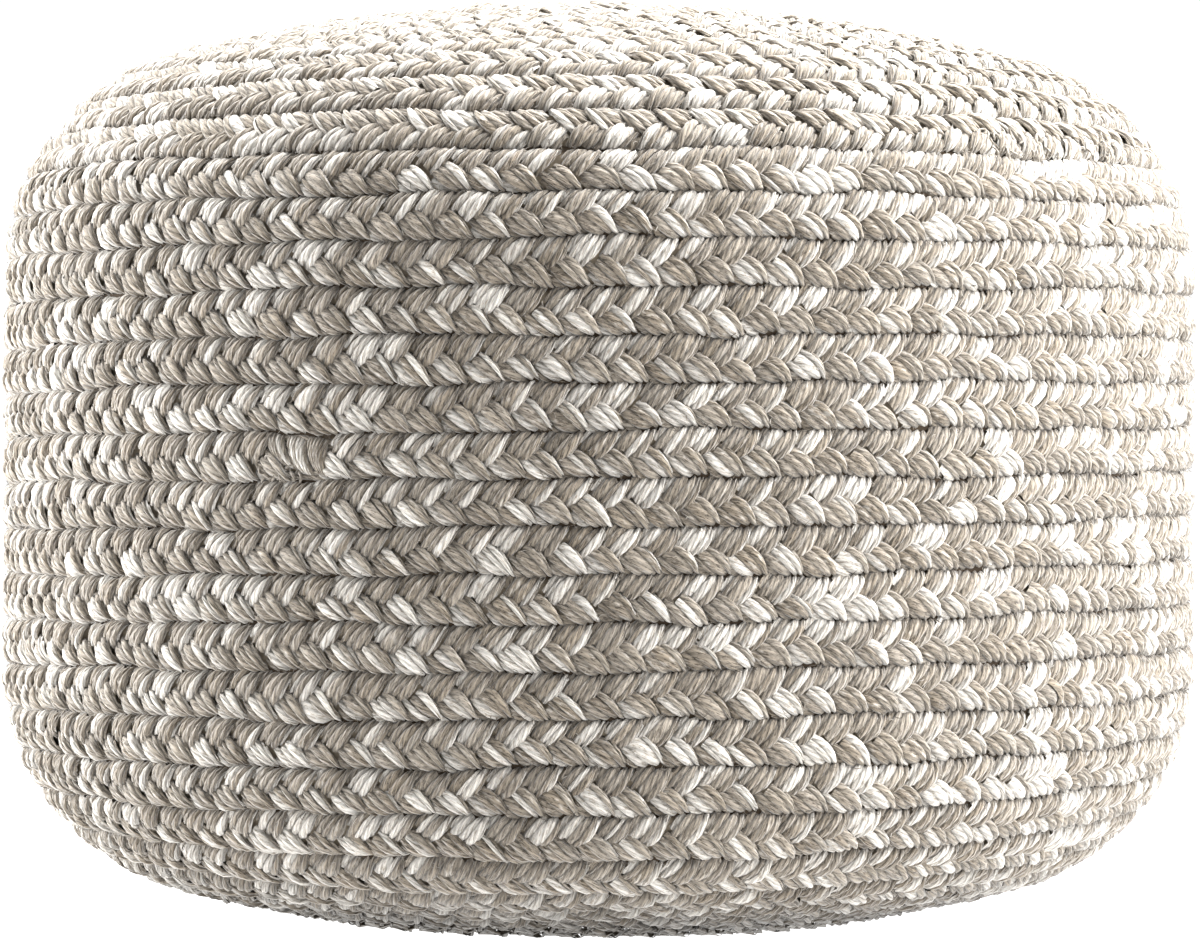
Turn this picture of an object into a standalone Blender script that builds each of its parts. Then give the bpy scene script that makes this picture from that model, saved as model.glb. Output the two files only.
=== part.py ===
"""A braided pouf, 508 mm across and 388 mm high.

The cover is three flat braids, each coiled with its edges stitched together: a panel over the
crown, a wall round the firm filling, and a panel drawn in under the haunch. Every turn of a coil
stands out as a rounded row with a stitched seam on each side of it.

Metres, +Z up, the front towards -Y. The origin is on the floor under the middle of the pouf.
"""

import functools
import math

import bmesh
import bpy
import numpy as np

COLLECTION_NAME = "braided_pouf"

# Overall sizes
POUF_RADIUS = 0.254
POUF_HEIGHT = 0.3875
BRAID_THICKNESS = 0.010
SEAM_DEPTH = 0.0032
PIECE_GAP = 0.0003

# Turns of braid: a row is one turn of a coil, counted from the middle of the crown. The turns lie
# level here, although the real coil drops by one row each time round.
ROW_PITCH = 0.0187
PANEL_ROWS = 14
WALL_ROWS = 14
TOTAL_ROWS = PANEL_ROWS + WALL_ROWS + PANEL_ROWS
TOP_SEAM_HEIGHT = 0.3155
# Where the two rounded shoulders of a row lie, as a share of its width
ROW_SHOULDERS = (0.28, 0.72)

# The outline in profile is made of arcs. The front has sagged a little: its shoulder and haunch
# are fuller than those at the sides and back.
PROFILE_ARCS = {
    # arc: (radius at the sides and back, radius at the front)
    "crown": (0.720, 0.720),
    "shoulder": (0.093, 0.081),
    "haunch": (0.095, 0.040),
    "underside": (0.800, 0.825),
}
# How far the underside's arc would reach below the floor if nothing pressed it flat
FLATTENED = (0.0070, 0.0145)
ARC_STEPS = 48

# The pouf leans a little to its right as it rises
LEAN = math.radians(0.7)
# Puts the widest part back over the origin
LEAN_CENTRE = 0.0007

# Rows flatten where the pouf meets the floor
FLAT_HEIGHT = 0.006

# Mesh: meridians round the pouf, the rows where the smooth hidden faces have a ring of points, and
# how near the floor's plane a point must be to lie in it
COLUMNS = 48
HIDDEN_RINGS = (0, 3, 6.5, 10, 12.5)
FLOOR_MARGIN = 1e-7
SHARP_ANGLE = math.radians(50)

YARN_COLOUR = (0.392, 0.347, 0.296, 1.0)
YARN_ROUGHNESS = 0.95


def arc_points(centre_r, centre_z, radius, start, end):
    """Points of an arc in the profile plane, as rows of (distance from axis, height)."""
    angles = np.linspace(start, end, ARC_STEPS)
    return np.column_stack((centre_r + radius * np.cos(angles), centre_z + radius * np.sin(angles)))


@functools.lru_cache(maxsize=None)
def profile(theta):
    """The outline at one angle, from the middle of the crown to the middle of the base.

    Returns the points, their distance along the outline, and the outward normal at each.
    """
    front = max(math.cos(theta), 0.0) ** 2
    size = {name: side + (ahead - side) * front for name, (side, ahead) in PROFILE_ARCS.items()}
    flattened = FLATTENED[0] + (FLATTENED[1] - FLATTENED[0]) * front

    # The shoulder's arc touches the upright wall and the crown's arc
    shoulder_r = POUF_RADIUS - size["shoulder"]
    shoulder_rise = math.sqrt((size["crown"] - size["shoulder"]) ** 2 - shoulder_r**2)
    shoulder_end = math.atan2(shoulder_rise, shoulder_r)
    crown_z = POUF_HEIGHT - size["crown"]

    # The haunch's arc touches the upright wall and the underside's arc
    haunch_r = POUF_RADIUS - size["haunch"]
    haunch_drop = math.sqrt((size["underside"] - size["haunch"]) ** 2 - haunch_r**2)
    haunch_end = math.atan2(haunch_drop, haunch_r)
    underside_z = size["underside"] - flattened
    contact_angle = math.acos(underside_z / size["underside"])

    points = np.vstack((
        arc_points(0, crown_z, size["crown"], math.pi / 2, shoulder_end),
        arc_points(shoulder_r, crown_z + shoulder_rise, size["shoulder"], shoulder_end, 0)[1:],
        arc_points(haunch_r, underside_z - haunch_drop, size["haunch"], 0, -haunch_end),
        arc_points(0, underside_z, size["underside"], -haunch_end, contact_angle - math.pi / 2)[1:],
        [(0, 0)],
    ))
    steps = np.hypot(*np.diff(points, axis=0).T)
    lengths = np.concatenate(([0], np.cumsum(steps)))
    tangents = np.gradient(points, lengths, axis=0)
    normals = np.column_stack((-tangents[:, 1], tangents[:, 0]))
    normals[0] = (0, 1)
    normals[-1] = (0, -1)
    return points, lengths, normals


def distance_to_row(row, theta):
    """Distance along the outline from the middle of the crown to a row."""
    points, lengths, _ = profile(theta)
    below_crown = np.argmax(points[:, 1] < TOP_SEAM_HEIGHT)
    around_seam = slice(below_crown - 1, below_crown + 1)
    seam = np.interp(-TOP_SEAM_HEIGHT, -points[around_seam, 1], lengths[around_seam])
    wall_end = seam + WALL_ROWS * ROW_PITCH
    rows = (0, PANEL_ROWS, PANEL_ROWS + WALL_ROWS, TOTAL_ROWS)
    return np.interp(row, rows, (0, seam, wall_end, lengths[-1]))


def pouf_point(row, depth, theta):
    """World position of a point on a row, a depth below the crest of the braid.

    theta is the angle round the pouf from its front, positive towards +X.
    """
    points, lengths, normals = profile(theta)
    distance = distance_to_row(row, theta)
    radius, height = (np.interp(distance, lengths, points[:, axis]) for axis in (0, 1))
    normal_r, normal_z = (np.interp(distance, lengths, normals[:, axis]) for axis in (0, 1))
    if depth < BRAID_THICKNESS:
        depth *= min(height / FLAT_HEIGHT, 1.0)
    radius = max(radius - normal_r * depth, 0.0)
    height = height - normal_z * depth
    x = radius * math.sin(theta)
    y = -radius * math.cos(theta)
    leaning_x = x + LEAN * height**2 / (2 * POUF_HEIGHT) - LEAN_CENTRE
    leaning_z = height - LEAN * x * height / POUF_HEIGHT
    return leaning_x, y, leaning_z


def coil_rings(first_row, last_row):
    """Rings of the ribbed outer face: a stitched seam between rows, and each row's shoulders."""
    rings = [(first_row, SEAM_DEPTH)]
    for row in range(math.floor(first_row), math.ceil(last_row)):
        rings.extend((row + share, 0.0) for share in ROW_SHOULDERS)
        rings.append((min(row + 1, last_row), SEAM_DEPTH))
    return rings


def hidden_rings(depth, edge_row):
    """Rings of a smooth hidden face, from the middle out to the edge."""
    return [(row, depth) for row in HIDDEN_RINGS] + [(edge_row, depth)]


def mirrored(rings):
    """The same rings counted from the middle of the base instead of the crown."""
    return [(TOTAL_ROWS - row, depth) for row, depth in reversed(rings)]


def yarn_material(name):
    material = bpy.data.materials.new(name)
    material.use_nodes = True
    shader = material.node_tree.nodes["Principled BSDF"]
    shader.inputs["Base Color"].default_value = YARN_COLOUR
    shader.inputs["Roughness"].default_value = YARN_ROUGHNESS
    shader.inputs["Metallic"].default_value = 0.0
    return material


def lay_on_pouf(name, rings, collection):
    """Make a solid by laying the parallels of a ball, pole to pole, along rings of the pouf."""
    ball = bmesh.new()
    bands = len(rings) - 1
    bmesh.ops.create_uvsphere(ball, u_segments=COLUMNS, v_segments=bands, radius=1.0)
    for vert in ball.verts:
        ring = round(math.acos(max(min(vert.co.z, 1.0), -1.0)) / math.pi * bands)
        theta = math.atan2(vert.co.x, -vert.co.y) if 0 < ring < bands else 0.0
        row, depth = rings[ring]
        vert.co = pouf_point(row, depth, round(theta, 6))

    # Where the pouf stands, the faces lie in the floor's plane and become one. The others are cut
    # along their shorter diagonal, so faces that back each other bend alike and stay clear.
    standing = []
    curved = []
    for face in ball.faces:
        on_floor = all(abs(vert.co.z) < FLOOR_MARGIN for vert in face.verts)
        (standing if on_floor else curved).append(face)
    bmesh.ops.triangulate(ball, faces=curved, quad_method="SHORT_EDGE")
    if standing:
        bmesh.ops.dissolve_faces(ball, faces=standing, use_verts=True)

    mesh = bpy.data.meshes.new(name)
    ball.to_mesh(mesh)
    ball.free()
    mesh.shade_smooth()
    mesh.set_sharp_from_angle(angle=SHARP_ANGLE)
    mesh.materials.append(yarn_material(name))
    piece = bpy.data.objects.new(name, mesh)
    collection.objects.link(piece)
    return piece


def build_pouf():
    collection = bpy.data.collections.new(COLLECTION_NAME)
    bpy.context.scene.collection.children.link(collection)

    gap_rows = PIECE_GAP / ROW_PITCH
    under_panel = BRAID_THICKNESS + PIECE_GAP
    wall_start = PANEL_ROWS + gap_rows
    wall_end = TOTAL_ROWS - wall_start

    panel_outside = [(0, 0.0)] + coil_rings(0, PANEL_ROWS)[1:]
    panel_inside = hidden_rings(BRAID_THICKNESS, PANEL_ROWS)
    wall_under_panel = hidden_rings(under_panel, wall_start)
    wall_outside = coil_rings(wall_start, wall_end)

    lay_on_pouf("top_panel", panel_outside + panel_inside[::-1], collection)
    lay_on_pouf("side_wall", wall_under_panel + wall_outside + mirrored(wall_under_panel), collection)
    lay_on_pouf("base_panel", mirrored(panel_inside[::-1]) + mirrored(panel_outside), collection)


for leftover in list(bpy.data.objects):
    bpy.data.objects.remove(leftover)
build_pouf()
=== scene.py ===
import functools
import math

import bpy
import numpy as np
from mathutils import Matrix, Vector


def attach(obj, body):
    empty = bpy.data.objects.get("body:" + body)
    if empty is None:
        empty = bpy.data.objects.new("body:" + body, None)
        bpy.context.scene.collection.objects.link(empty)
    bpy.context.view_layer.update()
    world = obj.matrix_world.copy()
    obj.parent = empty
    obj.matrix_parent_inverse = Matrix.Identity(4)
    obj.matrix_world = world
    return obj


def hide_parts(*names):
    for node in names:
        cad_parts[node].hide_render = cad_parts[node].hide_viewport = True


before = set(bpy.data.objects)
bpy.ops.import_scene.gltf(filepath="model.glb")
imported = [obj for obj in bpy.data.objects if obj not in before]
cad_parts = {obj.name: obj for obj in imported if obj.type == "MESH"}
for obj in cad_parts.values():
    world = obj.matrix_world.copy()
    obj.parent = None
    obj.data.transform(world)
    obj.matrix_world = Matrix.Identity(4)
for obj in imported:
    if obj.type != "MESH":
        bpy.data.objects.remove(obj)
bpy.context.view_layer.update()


# ------------------------------------------------------------------------------------------------
# The filled body. The pouf is packed firm, and its cover draws it into a drum with a crowned top, a
# rounded shoulder and an underside pressed flat where it stands. Only the backs of the braids show
# here, between the strands and at the bottom of the seams: spun yarn, sewn edge to edge. It is
# painted paler than the braid between the strands as painted light, and almost black in the seams
# as painted shade.
# ------------------------------------------------------------------------------------------------

# The pouf in metres. A row is one turn of a coil of braid, counted from the middle of the crown.
POUF_RADIUS = 0.254
POUF_HEIGHT = 0.3875
ROW_PITCH = 0.0187
PANEL_ROWS = 14
WALL_ROWS = 14
TOTAL_ROWS = PANEL_ROWS + WALL_ROWS + PANEL_ROWS
TOP_SEAM_HEIGHT = 0.3155

# The outline in profile is made of arcs: (radius at the sides and back, radius at the front)
PROFILE_ARCS = {
    "crown": (0.720, 0.720),
    "shoulder": (0.093, 0.081),
    "haunch": (0.095, 0.040),
    "underside": (0.800, 0.825),
}
# How far the underside's arc would reach below the floor if nothing pressed it flat
FLATTENED = (0.0070, 0.0145)
# The pouf leans to its right as it rises, and the shift puts its widest part back over the origin
LEAN = math.radians(0.7)
LEAN_CENTRE = 0.0007
# The outline is kept as a table: steps along each arc, from the side to the front, and in each row
ARC_STEPS = 96
FRONT_STEPS = 32
STEPS_PER_ROW = 12

# How far rows stray from level, in rows, and the waves that make it: (waves per turn, tilt per row).
# The straying dies out over the last rows before the middle of a panel.
WANDER_ROWS = 0.022
WANDERINGS = ((5, 1.1), (9, -1.7), (17, 2.3), (26, -0.9))
WANDER_FADE_ROWS = 3

# Under the braids the body is one strip that follows the coil: (place across a row, depth)
BACK_RIBS = ((0.0, 0.0040), (0.17, 0.0047), (0.5, 0.0045), (0.83, 0.0047))
BACK_STEPS_PER_TURN = 150
# Where the strip runs out to nothing, faces of less than this are left out, in square metres
LEAST_FACE = 1e-9

# Painted light: the body is paler than the braid. Painted shade: almost black in the seams
HOLLOW_YARN_PAINTED_LIGHT = "#b3a590"
SEAM_PAINTED_SHADE = "#392e22"
# Patches of fibre are about 1.4 mm across
PATCHES_PER_METRE = 700.0


def arc_points(centre_r, centre_z, radius, start, end):
    """Points of an arc in the profile plane, as rows of (distance from axis, height)."""
    angles = np.linspace(start, end, ARC_STEPS)
    return np.column_stack((centre_r + radius * np.cos(angles), centre_z + radius * np.sin(angles)))


def outline_rows(front):
    """The outline for one share of frontness: (radius, height, outward normal) at each row step."""
    size = {name: side + (ahead - side) * front for name, (side, ahead) in PROFILE_ARCS.items()}
    flattened = FLATTENED[0] + (FLATTENED[1] - FLATTENED[0]) * front

    # The shoulder's arc touches the upright wall and the crown's arc
    shoulder_r = POUF_RADIUS - size["shoulder"]
    shoulder_rise = math.sqrt((size["crown"] - size["shoulder"]) ** 2 - shoulder_r**2)
    shoulder_end = math.atan2(shoulder_rise, shoulder_r)
    crown_z = POUF_HEIGHT - size["crown"]

    # The haunch's arc touches the upright wall and the underside's arc
    haunch_r = POUF_RADIUS - size["haunch"]
    haunch_drop = math.sqrt((size["underside"] - size["haunch"]) ** 2 - haunch_r**2)
    haunch_end = math.atan2(haunch_drop, haunch_r)
    underside_z = size["underside"] - flattened
    contact_angle = math.acos(underside_z / size["underside"])

    points = np.vstack((
        arc_points(0, crown_z, size["crown"], math.pi / 2, shoulder_end),
        arc_points(shoulder_r, crown_z + shoulder_rise, size["shoulder"], shoulder_end, 0)[1:],
        arc_points(haunch_r, underside_z - haunch_drop, size["haunch"], 0, -haunch_end),
        arc_points(0, underside_z, size["underside"], -haunch_end, contact_angle - math.pi / 2)[1:],
        [(0, 0)],
    ))
    lengths = np.concatenate(([0], np.cumsum(np.hypot(*np.diff(points, axis=0).T))))
    tangents = np.gradient(points, lengths, axis=0)
    normals = np.column_stack((-tangents[:, 1], tangents[:, 0]))
    normals[0] = (0, 1)
    normals[-1] = (0, -1)

    # The seam below the top panel is at its own height, and the wall's rows are all as wide
    below_crown = int(np.argmax(points[:, 1] < TOP_SEAM_HEIGHT))
    around_seam = slice(below_crown - 1, below_crown + 1)
    seam = np.interp(-TOP_SEAM_HEIGHT, -points[around_seam, 1], lengths[around_seam])
    rows = np.linspace(0, TOTAL_ROWS, TOTAL_ROWS * STEPS_PER_ROW + 1)
    panel_edges = (0, PANEL_ROWS, PANEL_ROWS + WALL_ROWS, TOTAL_ROWS)
    along = np.interp(rows, panel_edges, (0, seam, seam + WALL_ROWS * ROW_PITCH, lengths[-1]))
    return np.column_stack([np.interp(along, lengths, column) for column in (*points.T, *normals.T)])


OUTLINE = np.stack([outline_rows(step / FRONT_STEPS) for step in range(FRONT_STEPS + 1)])


def outline_values(rows, thetas):
    """Radius, height and outward normal of the outline at each row and angle round the pouf."""
    front = np.maximum(np.cos(thetas), 0.0) ** 2 * FRONT_STEPS
    front_step = np.minimum(front.astype(int), FRONT_STEPS - 1)
    front_share = (front - front_step)[..., None]
    place = np.clip(rows, 0.0, TOTAL_ROWS) * STEPS_PER_ROW
    place_step = np.minimum(place.astype(int), TOTAL_ROWS * STEPS_PER_ROW - 1)
    place_share = (place - place_step)[..., None]
    values = 0.0
    for ahead, weight in ((0, 1 - front_share), (1, front_share)):
        first = OUTLINE[front_step + ahead, place_step]
        second = OUTLINE[front_step + ahead, place_step + 1]
        values = values + weight * (first + (second - first) * place_share)
    return np.moveaxis(values, -1, 0)


def on_pouf(rows, depths, thetas):
    """World points on a row, a depth in metres under the braid's crest.

    Thetas are angles round the pouf from its front, positive towards +X.
    """
    # Past the middle of a panel is the other side of it
    past = (rows < 0) | (rows > TOTAL_ROWS)
    rows = np.where(rows > TOTAL_ROWS, 2 * TOTAL_ROWS - rows, np.abs(rows))
    thetas = thetas + math.pi * past
    # Sewn by hand, the rows wander a little up and down
    steady = np.clip(np.minimum(rows, TOTAL_ROWS - rows) / WANDER_FADE_ROWS, 0.0, 1.0)
    wander = sum(np.sin(turns * thetas + tilt * rows) for turns, tilt in WANDERINGS)
    rows = rows + WANDER_ROWS * steady * wander
    radius, height, normal_r, normal_z = outline_values(rows, thetas)
    radius = np.maximum(radius - normal_r * depths, 0.0)
    height = np.maximum(height - normal_z * depths, 0.0)
    x = radius * np.sin(thetas)
    y = -radius * np.cos(thetas)
    leaning_x = x + LEAN * height**2 / (2 * POUF_HEIGHT) - LEAN_CENTRE
    leaning_z = np.maximum(height - LEAN * x * height / POUF_HEIGHT, 0.0)
    return np.stack((leaning_x, y, leaning_z), axis=-1)


def linear(hex_colour):
    """An sRGB hex colour as linear RGBA."""
    values = [int(hex_colour[place:place + 2], 16) / 255 for place in (1, 3, 5)]
    return [v / 12.92 if v <= 0.04045 else ((v + 0.055) / 1.055) ** 2.4 for v in values] + [1.0]


def add_node(tree, kind, inputs, **settings):
    """Add a node: an input given as a socket is linked, any other value is set on it."""
    node = tree.nodes.new(kind)
    for name, value in settings.items():
        setattr(node, name, value)
    for place, value in inputs.items():
        if isinstance(value, bpy.types.NodeSocket):
            tree.links.new(value, node.inputs[place])
        else:
            node.inputs[place].default_value = value
    return node


def new_material(name):
    """An empty node material, its tree and its Principled shader."""
    material = bpy.data.materials.new(name)
    material.use_nodes = True
    return material, material.node_tree, material.node_tree.nodes["Principled BSDF"]


def make_piece(name, points, faces, material, attributes):
    """A smooth mesh of four-sided faces from arrays, with its vertex attributes."""
    mesh = bpy.data.meshes.new(name)
    mesh.vertices.add(len(points))
    mesh.vertices.foreach_set("co", points.astype(np.float32).ravel())
    mesh.loops.add(faces.size)
    mesh.loops.foreach_set("vertex_index", faces.astype(np.int32).ravel())
    mesh.polygons.add(len(faces))
    mesh.polygons.foreach_set("loop_start", np.arange(0, faces.size, 4, dtype=np.int32))
    for attribute, values in attributes.items():
        layer = mesh.attributes.new(attribute, "FLOAT_VECTOR", "POINT")
        layer.data.foreach_set("vector", values.astype(np.float32).ravel())
    mesh.update(calc_edges=True)
    mesh.shade_smooth()
    mesh.materials.append(material)
    piece = bpy.data.objects.new(name, mesh)
    bpy.context.scene.collection.objects.link(piece)
    return piece


def set_on_pouf(piece, *nodes):
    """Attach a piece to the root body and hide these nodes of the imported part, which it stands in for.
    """
    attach(piece, "root")
    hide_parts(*nodes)


def shaded_yarn():
    """Spun wool-blend yarn in the shade: in the hollows a dull taupe painted paler as painted light,
    and painted shade almost black down in the seams.

    No light is thrown back between the fibres, so it is as rough as can be.
    """
    material, tree, shader = new_material("spun_yarn_in_shade")
    place = add_node(tree, "ShaderNodeTexCoord", {})
    fibres = add_node(tree, "ShaderNodeTexNoise", {
        "Vector": place.outputs["Object"], "Scale": PATCHES_PER_METRE})
    # The seam attribute marks the bottom of the seams, where painted shade makes the yarn almost black
    seam = add_node(tree, "ShaderNodeAttribute", {}, attribute_name="seam")
    share = add_node(tree, "ShaderNodeMath", {
        0: fibres.outputs[0], 1: 0.6, 2: seam.outputs["Fac"]}, operation="MULTIPLY_ADD", use_clamp=True)
    tones = add_node(tree, "ShaderNodeMix", {
        0: share.outputs[0], 6: linear(HOLLOW_YARN_PAINTED_LIGHT), 7: linear(SEAM_PAINTED_SHADE)}, data_type="RGBA")
    tree.links.new(tones.outputs[2], shader.inputs["Base Color"])
    shader.inputs["Roughness"].default_value = 1.0
    return material


def body_strip():
    """Points, faces and seam places of the strip under the braids; the seam places get painted shade."""
    ribs = len(BACK_RIBS)
    steps = np.arange((TOTAL_ROWS + 1) * BACK_STEPS_PER_TURN + 1)
    coil_turns = steps[:, None] / BACK_STEPS_PER_TURN - 0.5
    across, depths = np.array(BACK_RIBS).T
    rows = coil_turns + across
    depths = np.broadcast_to(depths, rows.shape)
    points = on_pouf(np.clip(rows, 0, TOTAL_ROWS), depths, -2 * math.pi * coil_turns).reshape(-1, 3)
    index = np.arange(rows.size).reshape(rows.shape)
    # The last rib of a row is the first of the next turn
    index = np.column_stack((index[:-BACK_STEPS_PER_TURN], index[BACK_STEPS_PER_TURN:, 0]))
    corners = (index[:-1, :-1], index[1:, :-1], index[1:, 1:], index[:-1, 1:])
    faces = np.stack(corners, axis=-1).reshape(-1, 4)
    # At the middles of the panels the strip runs out to nothing
    first, second, third, fourth = (points[corner] for corner in faces.T)
    areas = np.linalg.norm(np.cross(third - first, fourth - second), axis=1)
    # The first rib of each row lies at the bottom of a seam and gets painted shade
    seam = np.zeros((rows.size, 3))
    seam[np.arange(rows.size) % ribs == 0] = 1.0
    return points, faces[areas > LEAST_FACE], seam


body_points, body_faces, body_seam_shade = body_strip()
filled_body = make_piece("filled_body", body_points, body_faces, shaded_yarn(), {"seam": body_seam_shade})
set_on_pouf(filled_body, "side_wall")


# ------------------------------------------------------------------------------------------------
# The top panel: a flat three-strand braid of spun wool-blend yarn, coiled outward from the middle
# of the crown and sewn edge to edge. Each strand is a bundle of yarns, most of them heather taupe
# and some off-white. Seen from outside, its plait points back along the coil.
# ------------------------------------------------------------------------------------------------

# The braid in millimetres: x along it, y across it and z out of it. A strand comes up at one edge,
# lies over the braid to the middle and dives under. The part that shows is a lobe, and the lobes
# of the two edges take turns, one every sixth of a period.
PERIOD = 43.0
ROW_WIDTH = ROW_PITCH * 1000
LOBE_PITCH = PERIOD / 6
STRAND_SWING = 6.75
STRAND_LIFT = 2.15
STRAND_HALF_WIDTH = 5.5
STRAND_HALF_THICKNESS = 2.7
# A lobe swells in its middle and is squeezed where it dives, by these shares of width and thickness
SWELL_WIDTH = 0.20
SWELL_THICKNESS = 0.20
CREST = STRAND_LIFT + STRAND_HALF_THICKNESS * (1 + SWELL_THICKNESS)
# A strand gets along faster as it crosses than as it turns at the edge, where it also rolls over:
# 1 would be an even roll, and less is a more sudden one
CROSSING_HURRY = 0.10
EDGE_ROLL = 0.8
# Phase of a strand at the middle of its lobe, and the phases between which the lobe is made
LOBE_MIDDLE = 0.75 * math.pi
LOBE_SPAN = (math.pi / 2 - 0.70, math.pi + 0.75)

# A strand has a layer of yarns round it, which wind round it by so many yarns in a period. Each is
# a ridge between two grooves, standing out of the strand's oval by these heights in millimetres.
YARNS = 8
YARN_WIND = 1.0
GROOVE = -0.70
RIDGE = 0.30
YARN_PROFILE = (GROOVE, 0.08, RIDGE, 0.08, GROOVE)

# No two lobes are alike. How far they stray, in shares of a yarn, of width and of thickness:
YARN_UNEVEN = 0.16
WIDTH_UNEVEN = 0.05
THICKNESS_UNEVEN = 0.07
# and in millimetres, for each yarn, for the yarn's surface, and for the lobe along, across and out
YARN_STRAY = 0.17
SURFACE_STRAY = 0.06
LOBE_STRAY = (0.45, 0.32, 0.18)

# What never shows is left out. A face shows if it isn't turned away and sees out along one of these
# lines, past a braid that is taken to be lower than it is.
SIGHT_LINES = (
    (0, 0, 1), (0, 1.2, 1), (0, -1.2, 1), (1.2, 0, 1), (-1.2, 0, 1), (3, 0, 1), (-3, 0, 1),
    (0, 3, 1), (0, -3, 1), (7, 0, 1), (-7, 0, 1), (0, 7, 1), (0, -7, 1),
)
SIGHT_STEP = 0.35
SIGHT_REACH = CREST + 4.0
TURNED_AWAY = -0.15
# Detail of a lobe: (steps along it, how much lower the braid is taken to be, in millimetres)
FINE = (9, 2.0)
PLAIN = (8, 1.25)
COARSE = (5, 1.25)
# For this the braid's surface is kept as a grid of heights: the size of its cells, the points of a
# lobe that are taken, along it and round it, and the height where there is no yarn
HEIGHT_CELL = 0.3
LOBE_SAMPLES = (160, 220)
NO_YARN = -9.0

# The coil's length is summed up in steps of this share of a turn. Its radius, in metres, is taken
# to be at least the other value, because a braid can't turn on the spot.
COIL_STEP = 0.002
COIL_LEAST_RADIUS = 0.004
# Where the plait is pulled apart: how far the lobes are pushed to each side, how far away they are
# pushed in full, and how far away hardly at all
PARTING = 1.1
PARTING_NEAR = 5
PARTING_FAR = 35

# Chance of an off-white yarn in a lobe, and of a lobe that is off-white all through
OFF_WHITE_YARN = 0.27
OFF_WHITE_LOBE = 0.06
# How off-white such a yarn is, and the other yarns
PALE_DYE = (0.75, 1.0)
TAUPE_DYE = (0.0, 0.22)
# How much darker painted shade makes the yarn under the haunch, and the rows between which it sets in
HAUNCH_PAINTED_SHADE = 2.3
HAUNCH_SHADE_ROWS = (30, 33)
# How much darker painted shade makes it down between the strands, and the depths under the crest where
# that sets in
SUNK_PAINTED_SHADE = 1.6
SUNK_DEPTHS = (1.3, 4.0)
# Yarns take their fibres from different places of one pattern, up to this far apart
PATTERN_REACH = 60

TAUPE_DARK = "#382d20"
TAUPE_LIGHT = "#918574"
OFF_WHITE = "#dedad3"
OFF_WHITE_SHADE = "#a59a8b"
# A yarn is spun of plies 1.4 mm wide, which cross it at this angle
PLY_WIDTH = 1.4
PLY_ANGLE = math.radians(19)
PLY_DEPTH_METRES = 0.00035
# Fibres 0.3 mm wide and 2.4 mm long, and tufts of them 1.3 mm by 3.6 mm. Real fibres are a tenth as
# wide, which is too fine to show.
FIBRES_PER_MM = (0.42, 3.0, 1.0)
TUFTS_PER_MM = (0.28, 0.8, 1.0)

# Turn angles of the coil: how far from the middle of a panel the braid starts, where the top panel
# starts and ends, at the back, and where its plait is pulled apart
COIL_EYE = 0.38 * math.pi
TOP_TURNS = (COIL_EYE - math.pi, (2 * PANEL_ROWS - 1) * math.pi)
TOP_PARTINGS = (26 * math.pi + 0.09,)


def strand_frames(psi):
    """Centre, side and face direction of a strand at each phase, for the lobes of the +y edge."""
    centre = np.stack((
        PERIOD / (2 * math.pi) * (psi - LOBE_MIDDLE + CROSSING_HURRY * np.sin(2 * psi)),
        STRAND_SWING * np.sin(psi),
        -STRAND_LIFT * np.sin(2 * psi),
    ), axis=-1)
    tangent = np.stack((
        PERIOD / (2 * math.pi) * (1 + 2 * CROSSING_HURRY * np.cos(2 * psi)),
        STRAND_SWING * np.cos(psi),
        -2 * STRAND_LIFT * np.cos(2 * psi),
    ), axis=-1)
    tangent /= np.linalg.norm(tangent, axis=-1, keepdims=True)
    lean = np.cos(psi)
    roll = math.pi / 2 * (1 + np.sign(lean) * np.abs(lean) ** EDGE_ROLL)
    facing = np.stack((np.zeros_like(psi), np.sin(roll), np.cos(roll)), axis=-1)
    side = np.cross(facing, tangent)
    side /= np.linalg.norm(side, axis=-1, keepdims=True)
    return centre, side, np.cross(tangent, side)


@functools.lru_cache(maxsize=None)
def strand_girth():
    """Angles round the strand's oval, the share of its girth up to each, and the whole girth."""
    angles = np.linspace(0, 2 * math.pi, 721)
    speeds = np.hypot(STRAND_HALF_WIDTH * np.sin(angles), STRAND_HALF_THICKNESS * np.cos(angles))
    girth = np.concatenate(([0], np.cumsum((speeds[1:] + speeds[:-1]) / 2 * np.diff(angles))))
    return angles, girth / girth[-1], girth[-1]


def on_oval(share):
    """Shares of half the width and of half the thickness, at shares of the way round a strand."""
    angles, girth, _ = strand_girth()
    angle = np.interp(share % 1.0, girth, angles)
    return np.cos(angle), np.sin(angle)


def strand_size(psi):
    """Half the width and half the thickness of a strand at each phase."""
    swell = -np.sin(2 * psi)
    half_width = STRAND_HALF_WIDTH * (1 + SWELL_WIDTH * swell)
    half_thickness = STRAND_HALF_THICKNESS * (1 + SWELL_THICKNESS * swell)
    return half_width, half_thickness


def braid_surface():
    """Height of the plain braid over a grid, two lobes long and one row wide."""
    steps, around = LOBE_SAMPLES
    psi, share = np.meshgrid(np.linspace(math.pi / 4, 5 * math.pi / 4, steps), np.linspace(0, 1, around))
    centre, side, face = strand_frames(psi)
    across, up = on_oval(share)
    half_width, half_thickness = strand_size(psi)
    lobe = centre + side * (half_width * across)[..., None]
    lobe = (lobe + face * (half_thickness * up)[..., None]).reshape(-1, 3)
    columns = int(round(2 * LOBE_PITCH / HEIGHT_CELL))
    lines = int(round(ROW_WIDTH / HEIGHT_CELL))
    heights = np.full((columns, lines), NO_YARN)
    for turn, sign in ((0, 1), (1, -1)):
        along = (lobe[:, 0] + turn * LOBE_PITCH) % (2 * LOBE_PITCH)
        column = (along / (2 * LOBE_PITCH) * columns).astype(int) % columns
        width_share = (lobe[:, 1] * sign + ROW_WIDTH / 2) % ROW_WIDTH / ROW_WIDTH
        line = (width_share * lines).astype(int) % lines
        np.maximum.at(heights, (column, line), lobe[:, 2])
    return heights


BRAID_HEIGHTS = braid_surface()


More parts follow.
